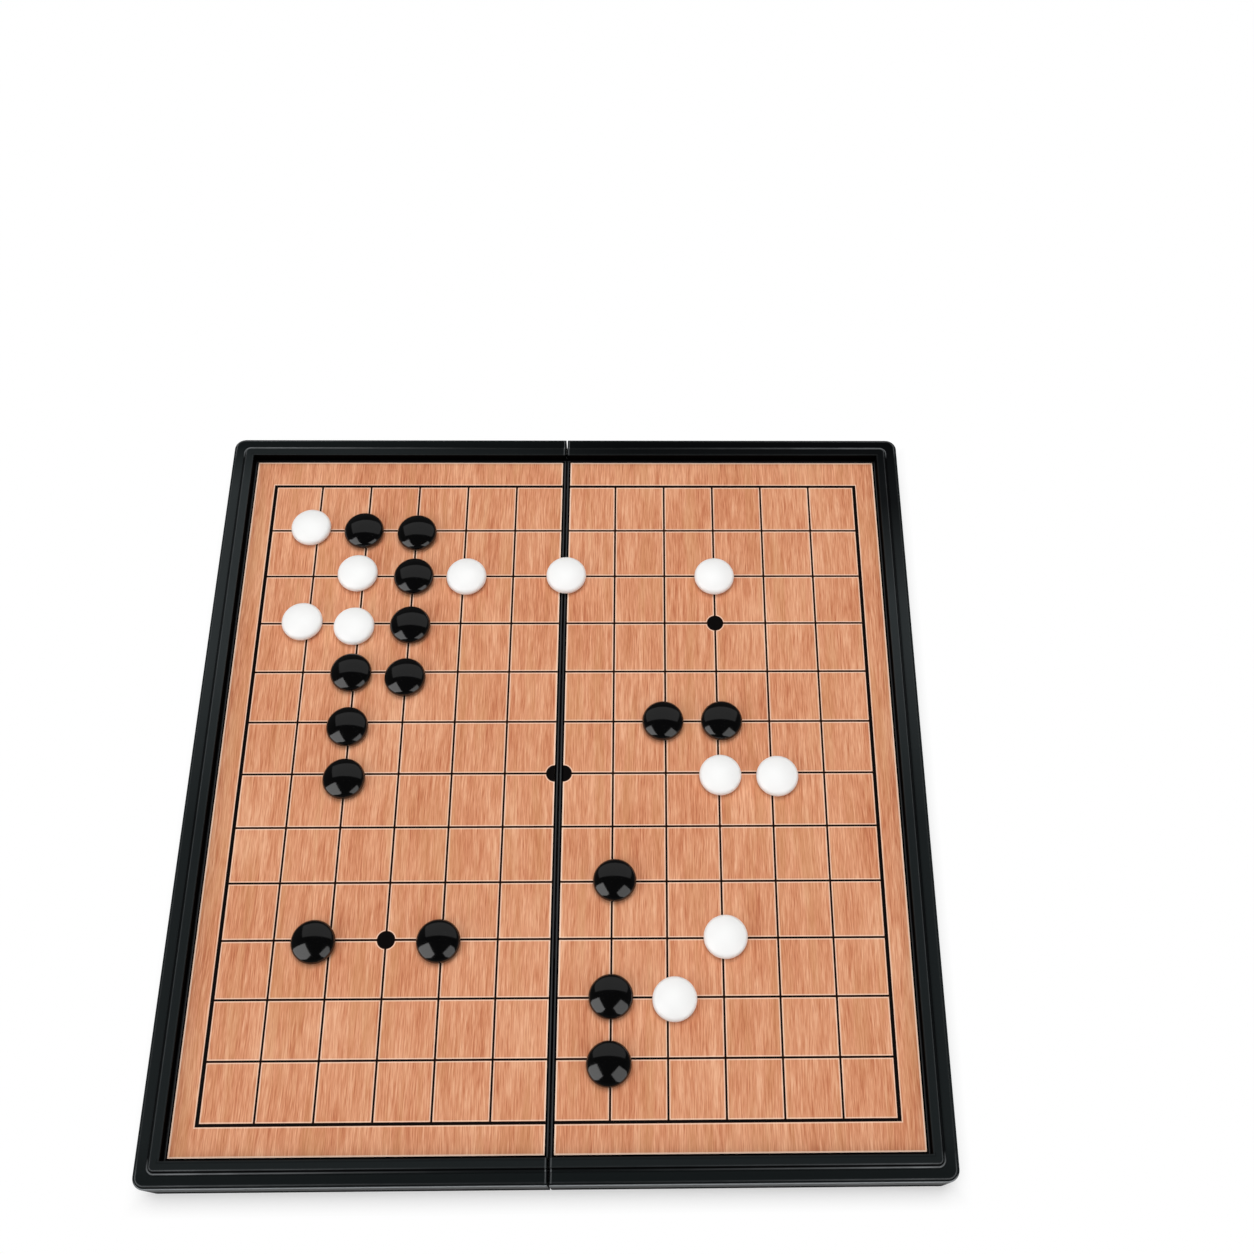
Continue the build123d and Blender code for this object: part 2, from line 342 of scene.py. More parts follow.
@dataclass(frozen=True)
class RimPlace:
    """Where a point of the moulding lies, in millimetres.

    x, y and z are its place, and across and along its distances from the middle either way.
    edge and step say how far it is in from the flange's edge, edge with that edge's small
    corners and step with the rounder corners of the bead and the band.
    """

    x: Wire
    y: Wire
    z: Wire
    across: Wire
    along: Wire
    edge: Wire
    step: Wire

    def inside(self, zone: Zone) -> Wire:
        """Give 1 inside a zone and 0 outside it: the product of the zone's ramps."""
        share, *others = (getattr(self, name).rise(start, end) for name, start, end in zone)
        for ramp in others:
            share = share * ramp
        return share


ON_TOP: Zone = (("z", 18.35, 18.65),)
ABOVE_DECK: Zone = (("z", 14.95, 15.2),)
ABOVE_SKIRT: Zone = (("z", 17.65, 17.85),)
END_RUNS: Zone = (("along", 135.8, 136.6),)


@dataclass(frozen=True)
class BlackMoulding(Finish):
    """Near-black moulded plastic, satin, with painted edge highlights, sheen and shade on its rim.
    """

    name: str = "satin_black_moulding"
    colour: Srgb = (26, 30, 31)
    # painted shade for the flange and the band's inner edge on the rim's end runs
    end_shade_colour: Srgb = (17, 21, 22)
    # painted sheen along the rim's sides
    side_sheen_colour: Srgb = (42, 46, 47)
    wall_colour: Srgb = (19, 20, 21)
    # painted highlights on the rim's edges; also the colour of light dust specks
    highlight_and_dust_colour: Srgb = (130, 133, 135)
    shaded_colour: Srgb = (1, 1, 2)
    flange_on_sides: float = 0.15
    band_inner_share: float = 0.8
    # how deep the painted shade at the back and back right goes
    back_shade_share: float = 0.82
    roughness: float = 0.5
    highlight_roughness: float = 0.4
    cloud_roughness: float = 0.16
    specular: float = 0.06
    wall_matt: float = 0.88
    texture_mm: float = 0.22
    texture_depth_mm: float = 0.006
    cloud_mm: float = 24.0
    dust_mm: float = 1.7
    dust_levels: Span = (0.66, 0.8)
    dust_share: float = 0.03
    # noise that breaks up the painted highlight lines
    highlight_breakup_mm: float = 9.0
    highlight_breakup_levels: Span = (0.4, 0.62)
    least_highlight: float = 0.72
    outer_half_mm: Span = (136.75, 144.8)
    edge_corner_mm: float = 3.4
    bead_corner_mm: float = 6.4
    # lines of painted highlight along the rim's edge and its steps
    edge_line: RimLine = RimLine(0.3, 0.32, 0.05, 0.07, 0.4)
    step_lines: tuple[RimLine, ...] = (
        RimLine(3.95, 0.36, 0.0, 0.01, 1.0),
        RimLine(5.0, 0.3, 0.16, 0.02, 0.5),
        RimLine(7.75, 0.3, 0.03, 0.03, 0.12),
    )
    # painted shade in the groove by the bead
    groove: RimLine = RimLine(3.95, 0.5, 0.95, 0.6, 0.0)
    # painted highlight along the foot of the recess wall
    foot_line: RimLine = RimLine(8.3, 0.3, 0.3, 0.18, 0.18)
    highlight_ends: Zone = (("along", 135.8, 140.8),)
    to_corners: Zone = (("across", 10.0, 125.0),)
    corner_power: float = 2.0
    # painted highlights along the arrises at the fold, brighter dots on the bead, and on the lips'
    # tops
    fold_line: Span = (0.95, 0.26)
    fold_line_share: float = 0.4
    fold_dot_half_mm: float = 0.6
    fold_dot_share: float = 0.6
    rim_at_fold: Zone = (("step", 8.1, 7.9), *ON_TOP)
    lip_line: Span = (0.66, 0.36)
    lip_line_share: float = 0.24
    lip_at_fold: Zone = (("step", 8.1, 8.5), ("z", 16.0, 16.1))
    # painted highlight on the skirt's top, on the front run only
    skirt_ledge: Zone = (("edge", -0.38, -0.5), ("edge", -0.9, -0.8), *ABOVE_SKIRT)
    front: Zone = (("y", -142.7, -144.8),)
    wall_foot: Zone = (("z", 16.45, 16.15), *ABOVE_DECK)
    # painted shade: the steep slope, the skirt's foot, the recess and the fold gap
    slope: Zone = (("step", 4.24, 4.36), ("step", 4.9, 4.7))
    skirt_edge: Zone = (("edge", -0.18, -0.1), ("edge", 0.18, 0.1))
    skirt_foot: Zone = (*skirt_edge, ("z", 18.55, 18.35), *ABOVE_SKIRT)
    recess_dark: Zone = (("step", 8.05, 8.1), ("z", 20.65, 20.35), *ABOVE_DECK)
    fold_gap: Zone = (("across", 0.62, 0.35), ("z", 15.9, 16.05))
    outside_wall: Zone = (("edge", 0.12, 0.08), ("z", 2.27, 2.35), ("z", 12.0, 8.0))
    recess_wall: Zone = (("step", 8.0, 8.1), ("z", 20.55, 20.25), *ABOVE_DECK)
    # painted shade on the flange and the band's inner edge along the end runs
    flange: Zone = (("step", 5.0, 4.8),)
    mitre: Zone = (("along", 130.8, 142.8),)
    band_inner: Zone = (("step", 7.0, 7.3), *END_RUNS)
    # painted sheen along the sides
    bright: Zone = (("y", -20.0, 50.0), ("y", 142.0, 122.0), *ON_TOP)
    # painted shade at the back and at the back right
    back: Zone = (("y", 134.8, 137.8), ("x", -90.0, 30.0), *ON_TOP)
    back_right_shade_zone: Zone = (("y", 70.0, 115.0), ("x", 110.0, 125.0), *ON_TOP)

    def inset(self, x: Wire, y: Wire, corner_radius: float) -> Wire:
        """Measure how far a point lies in from the flange's edge, a rounded rectangle.

        With q the distances past the corner's centre, it is the corner's radius, less the length
        of the part of q above 0, less the larger of q where both are below 0.

        Args:
            x: millimetres to the right.
            y: millimetres away from the player.
            corner_radius: the radius that the corners have at the flange's edge.

        Returns:
            Millimetres, below 0 outside the edge.
        """
        across = abs(x) - (self.outer_half_mm[0] - corner_radius)
        along = abs(y) - (self.outer_half_mm[1] - corner_radius)
        past = (across.at_least(0.0) ** 2.0 + along.at_least(0.0) ** 2.0) ** 0.5
        return corner_radius - past - across.at_least(along).at_most(0.0)

    def rim_highlights(self, at: RimPlace) -> Wire:
        """Find the painted highlights along the rim's long edges, strongest near the corners.

        Args:
            at: where the point lies.

        Returns:
            How much an edge shows, 0 elsewhere.
        """
        ends = at.inside(self.highlight_ends)
        corner = at.inside(self.to_corners) ** self.corner_power * ends
        lines = self.edge_line.share(at.edge, ends, corner)
        for line in self.step_lines:
            lines = lines.at_least(line.share(at.step, ends, corner))
        breakup = at.x.graph.noise(at.x / self.highlight_breakup_mm, at.y / self.highlight_breakup_mm, 3.0, detail=3.0)
        broken_up = self.least_highlight + (1.0 - self.least_highlight) * breakup.rise(*self.highlight_breakup_levels)
        return lines * broken_up * at.inside(ON_TOP)

    def painted_highlights(self, at: RimPlace) -> Wire:
        """Find the painted highlights: rim edges, fold arrises and lips, front step and wall foot.

        Args:
            at: where the point lies.

        Returns:
            How much each shows, 0 elsewhere.
        """
        # painted highlights at the fold: dots on the bead, lines on the arrises and the lips
        dot = at.step.near(self.step_lines[0].inset_mm, self.fold_dot_half_mm)
        rim = at.across.near(*self.fold_line) * at.inside(self.rim_at_fold)
        lip = at.across.near(*self.lip_line) * at.inside(self.lip_at_fold)
        fold = rim * (self.fold_line_share + dot * self.fold_dot_share)
        fold = fold + lip * self.lip_line_share
        # painted highlights on the skirt's front and at the recess wall's foot
        ledge = at.inside(self.skirt_ledge) * at.inside(self.front)
        foot = self.foot_line.share(at.step, at.inside(END_RUNS), 0.0) * at.inside(self.wall_foot)
        return self.rim_highlights(at).at_least(ledge).at_least(fold).at_least(foot)

    def shaded(self, at: RimPlace) -> Wire:
        """Find where no light comes: the steps' steep feet, the groove, the fold and the recess.

        Args:
            at: where the point lies.

        Returns:
            1 there and 0 elsewhere.
        """
        dark = self.groove.share(at.step, at.inside(END_RUNS), 0.0) * at.inside(ON_TOP)
        for zone in (self.slope, self.skirt_foot, self.recess_dark, self.fold_gap):
            dark = dark.at_least(at.inside(zone))
        return dark

    def rim_colour(self, graph: Graph, at: RimPlace) -> Wire:
        """Paint shade on the rim's ends, a sheen on its sides and deeper shade at the back right.

        Args:
            graph: the material's graph.
            at: where the point lies.

        Returns:
            The colour, which off the rim is the plain one.
        """
        ends = (1.0 - self.flange_on_sides) * at.inside(self.mitre)
        flange = at.inside(self.flange) * (self.flange_on_sides + ends)
        inner = at.inside(self.band_inner) * self.band_inner_share
        # painted shade on the end runs
        end_shade = flange.at_least(inner) * at.inside(ON_TOP)
        colour = graph.mix(end_shade, paint(self.colour), paint(self.end_shade_colour))
        # painted sheen along the sides
        colour = graph.mix(at.inside(self.bright), colour, paint(self.side_sheen_colour))
        # painted shade at the back and back right
        back_shade = at.inside(self.back).at_least(at.inside(self.back_right_shade_zone))
        return graph.mix(back_shade * self.back_shade_share, colour, paint(self.shaded_colour))

    def shade(self, graph: Graph) -> Wire:
        """Give satin black with cloudy gloss, a fine texture, duller walls, dust and painted
        light.
        """
        x, y, z = graph.place_mm()
        edge, step = (self.inset(x, y, r) for r in (self.edge_corner_mm, self.bead_corner_mm))
        at = RimPlace(x, y, z, abs(x), abs(y), edge, step)
        painted_highlights = self.painted_highlights(at)
        wall = at.inside(self.outside_wall).at_least(at.inside(self.recess_wall))
        dust = graph.blobs((x, y, z), self.dust_mm, detail=4.0, rough=0.7)
        # painted edge highlights, with a few light dust specks on top
        light = painted_highlights.at_least(dust.rise(*self.dust_levels) * self.dust_share)
        colour = graph.mix(wall, self.rim_colour(graph, at), paint(self.wall_colour))
        colour = graph.mix(self.shaded(at), colour, paint(self.shaded_colour))
        colour = graph.mix(light, colour, paint(self.highlight_and_dust_colour))
        clouds = graph.blobs((x, y, z), self.cloud_mm, detail=3.0) - 0.5
        roughness = self.roughness + clouds * self.cloud_roughness
        roughness = roughness + (self.highlight_roughness - self.roughness) * painted_highlights
        grit = graph.blobs((x, y, z), self.texture_mm, detail=1.0)
        relief = graph.bump(grit, self.texture_depth_mm)
        sockets = {"Base_Color": colour, "Normal": relief}
        satin = graph.surface(Roughness=roughness, Specular_IOR_Level=self.specular, **sockets)
        matt = graph.surface(Roughness=1.0, Specular_IOR_Level=0.0, **sockets)
        return graph.node("ShaderNodeMixShader", {}, {0: wall * self.wall_matt, 1: satin, 2: matt})


@dataclass(frozen=True)
class BoardGrid:
    """Where the printed lines and points lie, in millimetres from the fold and the middle row."""

    rows: int = 13
    row_pitch: float = 20.8
    column_pitch: float = 19.9
    fold_column: float = 20.3
    whole_columns: int = 4
    edge_column: float = 19.1
    middle_y: float = -0.5
    line_width: float = 0.64
    side_border_width: float = 1.25
    end_border_width: float = 1.0
    point_radius: float = 3.2
    point_row: int = 3
    point_column: int = 2
    sheet_half_width: float = 127.45
    sheet_half_depth: float = 135.7
    sheet_inner: float = 1.6

    def half_width(self) -> float:
        """Distance from the fold to the outermost column."""
        return self.fold_column + self.whole_columns * self.column_pitch + self.edge_column

    def half_depth(self) -> float:
        """Distance from the middle row to the outermost one."""
        return (self.rows - 1) * self.row_pitch / 2

    def ink_distance(self, x: Wire, y: Wire) -> Wire:
        """Measure how far a point is from the nearest ink.

        A column's distance is that to its own line, or to the end of the line if that is more.
        Rows, the border and the round points are measured alike, and the least distance counts.

        Args:
            x: millimetres to the right of the fold.
            y: millimetres away from the player.

        Returns:
            Millimetres, below 0 inside the ink.
        """
        across = abs(x)
        along = y - self.middle_y
        beyond = abs(along)
        column = ((across - self.fold_column) / self.column_pitch).rounded().at_least(0.0)
        column = column.at_most(float(self.whole_columns))
        past_side, past_end = across - self.half_width(), beyond - self.half_depth()
        off_column = abs(across - self.fold_column - column * self.column_pitch)
        columns = (off_column - self.line_width / 2).at_least(past_end)
        off_row = abs(along - (along / self.row_pitch).rounded() * self.row_pitch)
        rows = (off_row - self.line_width / 2).at_least(past_side).at_least(past_end)
        side, end = self.side_border_width / 2, self.end_border_width / 2
        inside = (past_side + side).at_least(past_end + end)
        border = (past_side - side).at_least(past_end - end).at_least(-inside)
        return columns.at_most(rows).at_most(border).at_most(self.point_distance(across, beyond))

    def edge_distance(self, x: Wire, y: Wire) -> Wire:
        """Measure how far a point is in from the nearest edge of its sheet."""
        across = abs(x)
        sides = (self.sheet_half_width - across).at_most(across - self.sheet_inner)
        return sides.at_most(self.sheet_half_depth - abs(y))

    def point_distance(self, across: Wire, beyond: Wire) -> Wire:
        """Measure how far a point is from the nearest round point: its distance less the radius.

        The middle one is two half discs, each with its middle on its own sheet's edge.

        Args:
            across: millimetres from the fold, either way.
            beyond: millimetres from the middle row, either way.

        Returns:
            Millimetres, below 0 inside a round point.
        """
        point_x = self.fold_column + self.point_column * self.column_pitch
        point_y = self.half_depth() - self.point_row * self.row_pitch
        outer = ((across - point_x) ** 2.0 + (beyond - point_y) ** 2.0) ** 0.5
        middle = ((across - self.sheet_inner) ** 2.0 + beyond * beyond) ** 0.5
        return outer.at_most(middle) - self.point_radius


@dataclass(frozen=True)
class GrainLayer:
    """One layer of grain: its blobs' width, length and seed, its weight, and how fine it goes."""

    width_mm: float
    length_mm: float
    seed: float
    weight: float
    detail: float = 2.0
    rough: float = 0.5

    def draw(self, graph: Graph, across: Wire, along: Wire) -> Wire:
        """Give the layer, from 0 to 1."""
        x, y = across / self.width_mm, along / self.length_mm
        return graph.noise(x, y, self.seed, self.detail, self.rough)


@dataclass(frozen=True)
class WoodPrint(Finish):
    """A satin laminated print: straight reddish wood grain under thin black lines."""

    name: str = "printed_wood_grain"
    grid: BoardGrid = field(default_factory=BoardGrid)
    top_mm: float = 16.15
    top_edge_mm: Span = (0.03, 0.01)
    dark: Srgb = (184, 108, 74)
    middle: Srgb = (206, 136, 99)
    light: Srgb = (219, 153, 116)
    palest: Srgb = (235, 179, 143)
    tan: Srgb = (203, 144, 99)
    pore: Srgb = (174, 86, 52)
    ink: Srgb = (5, 3, 3)
    halo: Srgb = (255, 226, 203)
    core: Srgb = (240, 205, 178)
    bleed: Srgb = (112, 58, 34)
    bleed_mm: float = 0.14
    halo_mm: Span = (0.25, 0.32)
    halo_strength: float = 0.75
    cut_edge_mm: Span = (0.6, 0.4)
    ink_softness_mm: float = 0.06
    bend: GrainLayer = GrainLayer(30.0, 70.0, 1.0, 3.0, detail=1.0)
    bands: GrainLayer = GrainLayer(2.4, 40.0, 5.0, 0.26)
    streaks: GrainLayer = GrainLayer(0.5, 12.0, 9.0, 0.38, rough=0.6)
    fibres: GrainLayer = GrainLayer(0.26, 6.5, 14.0, 0.36, rough=0.6)
    broad: GrainLayer = GrainLayer(28.0, 45.0, 27.0, 0.12, detail=1.0)
    tone_levels: Span = (0.37, 0.61)
    tan_patches: GrainLayer = GrainLayer(6.0, 60.0, 21.0, 0.4)
    tan_levels: Span = (0.5, 0.66)
    pores: GrainLayer = GrainLayer(0.34, 6.0, 33.0, 0.5, detail=1.0)
    pore_levels: Span = (0.64, 0.78)
    fibre_depth_mm: float = 0.008
    scuffs: GrainLayer = GrainLayer(14.0, 14.0, 40.0, 0.2, detail=4.0, rough=0.6)
    fibre_roughness: float = 0.08
    roughness: float = 0.5
    specular: float = 0.12

    def grain(self, graph: Graph, x: Wire, y: Wire) -> tuple[Wire, Wire]:
        """Draw the wood in layers that are longer along Y than they are wide.

        Its tone is the bands', streaks' and fibres' by their shares, with a broad drift added.

        Args:
            graph: the material's graph.
            x: millimetres to the right.
            y: millimetres away from the player.

        Returns:
            The colour, and the fibres' relief from 0 to 1.
        """
        across = x + (self.bend.draw(graph, x, y) - 0.5) * self.bend.weight
        fibres = self.fibres.draw(graph, across, y)
        drift = self.broad.draw(graph, x, y) - 0.5
        tone = fibres * self.fibres.weight + drift * self.broad.weight
        for layer in (self.bands, self.streaks):
            tone = tone + layer.draw(graph, across, y) * layer.weight
        stops = [(0.0, self.dark), (0.36, self.middle), (0.62, self.light), (1.0, self.palest)]
        inputs = {"Fac": tone.rise(*self.tone_levels)}
        wood = graph.node("ShaderNodeValToRGB", {"stops": stops}, inputs)
        tanned = self.tan_patches.draw(graph, across, y).rise(*self.tan_levels)
        wood = graph.mix(tanned * self.tan_patches.weight, wood, paint(self.tan))
        pores = self.pores.draw(graph, across, y).rise(*self.pore_levels)
        return graph.mix(pores * self.pores.weight, wood, paint(self.pore)), fibres

    def shade(self, graph: Graph) -> Wire:
        """Give the print on top and its paler core at the cut edges."""
        x, y, z = graph.place_mm()
        wood, fibres = self.grain(graph, x, y)
        distance = self.grid.ink_distance(x, y)
        cut = self.grid.edge_distance(x, y).rise(*self.cut_edge_mm)
        halo = distance.near(*self.halo_mm).at_least(cut) * self.halo_strength
        inked = (0.5 - distance / self.ink_softness_mm).clamped()
        bled = (1.0 - distance / self.bleed_mm).clamped()
        printed = graph.mix(bled, graph.mix(halo, wood, paint(self.halo)), paint(self.bleed))
        printed = graph.mix(inked, printed, paint(self.ink))
        on_top = z.rise(*(self.top_mm - below for below in self.top_edge_mm))
        roughness = self.roughness + (self.scuffs.draw(graph, x, y) - 0.5) * self.scuffs.weight
        return graph.surface(
            Base_Color=graph.mix(on_top, paint(self.core), printed),
            Roughness=roughness + (fibres - 0.5) * self.fibre_roughness,
            Specular_IOR_Level=self.specular,
            Normal=graph.bump(fibres * on_top, self.fibre_depth_mm),
        )


class StoneColour(enum.Enum):
    """The two colours that the stones are moulded in."""

    WHITE = "white"
    BLACK = "black"


@dataclass(frozen=True)
class StonePlastic(Finish):
    """Polished moulded plastic of a stone, with a fine parting line round its widest place."""

    name: str
    colour: Srgb
    cloud: Srgb
    roughness: float
    parting_mm: float
    specular: float = 0.5
    parting_width_mm: float = 0.09
    parting_depth_mm: float = 0.02
    parting_roughness: float = 0.2
    cloud_mm: float = 7.0
    smear_mm: Span = (3.0, 5.0)
    smear_levels: Span = (0.45, 0.75)
    smear_roughness: float = 0.05
    peel_mm: float = 1.6
    peel_depth_mm: float = 0.0015

    def shade(self, graph: Graph) -> Wire:
        """Give the plastic, faintly uneven, with smears in its gloss and the parting line."""
        place = graph.place_mm()
        x, y, z = place
        cloud = graph.blobs(place, self.cloud_mm)
        wide, long = self.smear_mm
        smear = graph.noise(x / wide, y / long, z / wide, detail=4.0, rough=0.65)
        gloss = self.roughness + smear.rise(*self.smear_levels) * self.smear_roughness
        parting = z.near(self.parting_mm, self.parting_width_mm)
        relief = graph.bump(graph.blobs(place, self.peel_mm, detail=1.0), self.peel_depth_mm)
        return graph.surface(
            Base_Color=graph.mix(cloud, paint(self.colour), paint(self.cloud)),
            Roughness=gloss + parting * self.parting_roughness,
            Specular_IOR_Level=self.specular,
            Normal=graph.bump(1.0 - parting, self.parting_depth_mm, relief),
        )


@dataclass(frozen=True)
class Metal(Finish):
    """Bare or plated metal with fine marks that run one way."""

    name: str
    colour: Srgb
    roughness: float
    mark_mm: Place
    mark_contrast: float
    spangle_mm: float = 0.0
    spangle_contrast: float = 0.22
    mark_roughness: float = 0.2
    mark_depth_mm: float = 0.004

    def shade(self, graph: Graph) -> Wire:
        """Give metal whose marks vary its colour and gloss, with zinc spangles if it has any."""
        x, y, z = graph.place_mm()
        marks = graph.noise(*[c / size for c, size in zip((x, y, z), self.mark_mm)], detail=3.0)
        tone = 1.0 + (marks - 0.5) * self.mark_contrast
        if self.spangle_mm:
            where = graph.node("ShaderNodeCombineXYZ", {}, {"X": x, "Y": y, "Z": 0.0})
            inputs = {"Vector": where, "Scale": 1 / self.spangle_mm}
            cells = graph.node("ShaderNodeTexVoronoi", {}, inputs, "Color")
            spangle = graph.node("ShaderNodeSeparateXYZ", {}, {0: cells}) - 0.5
            tone = tone + spangle * self.spangle_contrast
        grey = graph.node("ShaderNodeCombineXYZ", {}, {"X": tone, "Y": tone, "Z": tone})
        colour = graph.mix(1.0, paint(self.colour), grey, "MULTIPLY")
        return graph.surface(
            Base_Color=colour,
            Metallic=1.0,
            Roughness=self.roughness + (marks - 0.5) * self.mark_roughness,
            Normal=graph.bump(marks, self.mark_depth_mm),
        )


@dataclass(frozen=True)
class FootRubber(Finish):
    """Matt black rubber with a fine cast skin."""

    name: str = "matt_black_rubber"
    colour: Srgb = (34, 34, 35)
    dusty: Srgb = (62, 60, 58)
    dust_mm: float = 2.5
    dust_levels: Span = (0.45, 0.75)
    dust_share: float = 0.6
    dust_roughness: float = 0.1
    skin_mm: float = 0.3
    skin_depth_mm: float = 0.03
    roughness: float = 0.82

    def shade(self, graph: Graph) -> Wire:
        """Give dull rubber, greyer where dust clings to it."""
        place = graph.place_mm()
        skin = graph.blobs(place, self.skin_mm)
        dust = graph.blobs(place, self.dust_mm, detail=4.0, rough=0.7).rise(*self.dust_levels)
        return graph.surface(
            Base_Color=graph.mix(dust * self.dust_share, paint(self.colour), paint(self.dusty)),
            Roughness=self.roughness + dust * self.dust_roughness,
            Normal=graph.bump(skin, self.skin_depth_mm),
        )


@dataclass(frozen=True)
class WhiteTable(Finish):
    """The white sweep under the set: it has soft shadows near the set, and is white beyond."""

    name: str = "white_sweep"
    colour: Srgb = (254, 254, 254)
    roughness: float = 0.9
    fleck_mm: float = 3.0
    fleck_roughness: float = 0.08
    glow: float = 0.36
    set_half_mm: Span = (137.65, 145.7)
    fade_mm: Span = (0.0, 8.0)

    def shade(self, graph: Graph) -> Wire:
        """Give white paper that the camera and clear reflections see partly lit from within.

        The light within grows from its least, at the set's outline, to the whole over fade_mm.
        """
        x, y, _ = graph.place_mm()
        fleck = graph.noise(x / self.fleck_mm, y / self.fleck_mm, 0.0)
        away = (abs(x) - self.set_half_mm[0]).at_least(abs(y) - self.set_half_mm[1])
        glow = self.glow + (1.0 - self.glow) * away.rise(*self.fade_mm)
        camera = graph.node("ShaderNodeLightPath", {}, {}, "Is Camera Ray")
        seen = camera.at_least(camera.sibling("Is Glossy Ray"))
        seen = seen.at_least(camera.sibling("Is Transmission Ray"))
        roughness = self.roughness + fleck * self.fleck_roughness
        matt = graph.surface(Base_Color=paint(self.colour), Roughness=roughness)
        lit = graph.node("ShaderNodeEmission", {}, {"Color": WHITE, "Strength": 1.0})
        return graph.node("ShaderNodeMixShader", {}, {0: seen * glow, 1: matt, 2: lit})


NICKEL = Metal("bright_nickel_plate", (214, 208, 196), 0.2, (0.5, 0.5, 0.5), 0.16)
GALVANISED = Metal("galvanised_sheet", (176, 180, 184), 0.36, (0.4, 9.0, 1.0), 0.2, spangle_mm=4.0)
DRAWN_WIRE = Metal("drawn_steel_wire", (186, 186, 184), 0.3, (0.15, 6.0, 0.15), 0.3)


@dataclass(frozen=True)
class Shape:
    """A closed mesh: its points, and its faces as arrays of point numbers."""

    points: np.ndarray
    faces: tuple[np.ndarray, ...]

    def moved(self, to: Sequence[float]) -> "Shape":
        """Give the same shape with its own origin at a place."""
        return Shape(self.points + np.asarray(to, float), self.faces)


def arc(centre: Span, radius: float, start: float, end: float, count: int) -> np.ndarray:
    """Give points on an arc of a profile.

    At an angle a from straight up, the point is the centre plus radius times (sin a, cos a).

    Args:
        centre: distance from the axis and height of the arc's centre.
        radius: the arc's radius.
        start: first angle, in radians.
        end: last angle.
        count: how many points.

    Returns:
        One row of distance and height for each point.
    """
    angle = np.linspace(start, end, count)
    out, up = radius * np.sin(angle), radius * np.cos(angle)
    return np.stack([centre[0] + out, centre[1] + up], axis=1)


def turned(profile: np.ndarray, segments: int) -> Shape:
    """Turn a profile round the Z axis into a closed shape.

    A profile point at distance r and height z goes to (r cos a, r sin a, z) at each angle a. The
    profile runs from the upper end of the axis outward and down to its lower end.

    Args:
        profile: rows of distance and height, in metres, the first and last on the axis.
        segments: how many steps make the full turn.

    Returns:
        The shape, its faces outward.
    """
    angle = np.linspace(0, 2 * np.pi, segments, endpoint=False)
    rings = profile[1:-1]
    ring_x = np.outer(rings[:, 0], np.cos(angle))
    ring_y = np.outer(rings[:, 0], np.sin(angle))
    ring_z = np.repeat(rings[:, 1:], segments, axis=1)
    body = np.stack([ring_x, ring_y, ring_z], axis=-1).reshape(-1, 3)
    ends = np.array([[0, 0, profile[0, 1]], [0, 0, profile[-1, 1]]])
    number = np.arange(len(rings) * segments).reshape(len(rings), segments)
    ahead = np.roll(number, -1, axis=1)
    quads = np.stack([number[:-1], number[1:], ahead[1:], ahead[:-1]], axis=-1).reshape(-1, 4)
    top, bottom = len(body), len(body) + 1
    cap = np.stack([np.full(segments, top), number[0], ahead[0]], axis=-1)
    floor = np.stack([np.full(segments, bottom), ahead[-1], number[-1]], axis=-1)
    return Shape(np.concatenate([body, ends]), (quads, cap, floor))


def put(name: str, data: bpy.types.ID) -> bpy.types.Object:
    """Make an object of a mesh, lamp or camera and put it in the scene.

    Args:
        name: the object's name.
        data: what it shows.

    Returns:
        The object.
    """
    made = bpy.data.objects.new(name, data)
    bpy.context.scene.collection.objects.link(made)
    return made


class Maker:
    """Puts finished pieces into the scene and finishes on the model's own nodes."""

    sharp_deg: float = 30.0

    def piece(
        self, name: str, shape: Shape, finish: Finish, body: str
    ) -> bpy.types.Object:
        """Add a new piece.

        Args:
            name: the piece's name.
            shape: its mesh, in place.
            finish: what it is made of.
            body: the moving body that carries it.

        Returns:
            The new object.
        """
        mesh = bpy.data.meshes.new(name)
        faces = [face for block in shape.faces for face in block.tolist()]
        mesh.from_pydata(shape.points.tolist(), [], faces)
        mesh.shade_smooth()
        mesh.set_sharp_from_angle(angle=math.radians(self.sharp_deg))
        mesh.materials.append(finish.material())
        made = put(name, mesh)
        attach(made, body)
        LOG.info("%s: %d faces, rides on %s", name, len(faces), body)
        return made

    def dress(self, node: str, finish: Finish) -> None:
        """Give one of the model's own nodes its finish."""
        for material_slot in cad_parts[node].material_slots:
            material_slot.material = finish.material()
        LOG.info("%s: dressed in %s", node, finish.name)


@dataclass
class FoldingCase:
    """The two moulded halves and the steel pins that they turn on."""

    moulding: BlackMoulding = field(default_factory=BlackMoulding)

    def build(self, maker: Maker) -> None:
        """Dress both mouldings and both hinge pins."""
        for node in ("left_tray", "right_tray"):
            maker.dress(node, self.moulding)
        for node in ("front_hinge_pin", "back_hinge_pin"):
            maker.dress(node, DRAWN_WIRE)


@dataclass
class PlayingSurface:
    """The printed sheets and the steel sheets that they lie on."""

    def build(self, maker: Maker) -> None:
        """Dress the four sheets; the print's top follows the sheet's own height."""
        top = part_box("left_playing_sheet")[1].z / MM
        for side in ("left", "right"):
            maker.dress(f"{side}_playing_sheet", WoodPrint(top_mm=top))
            maker.dress(f"{side}_steel_sheet", GALVANISED)


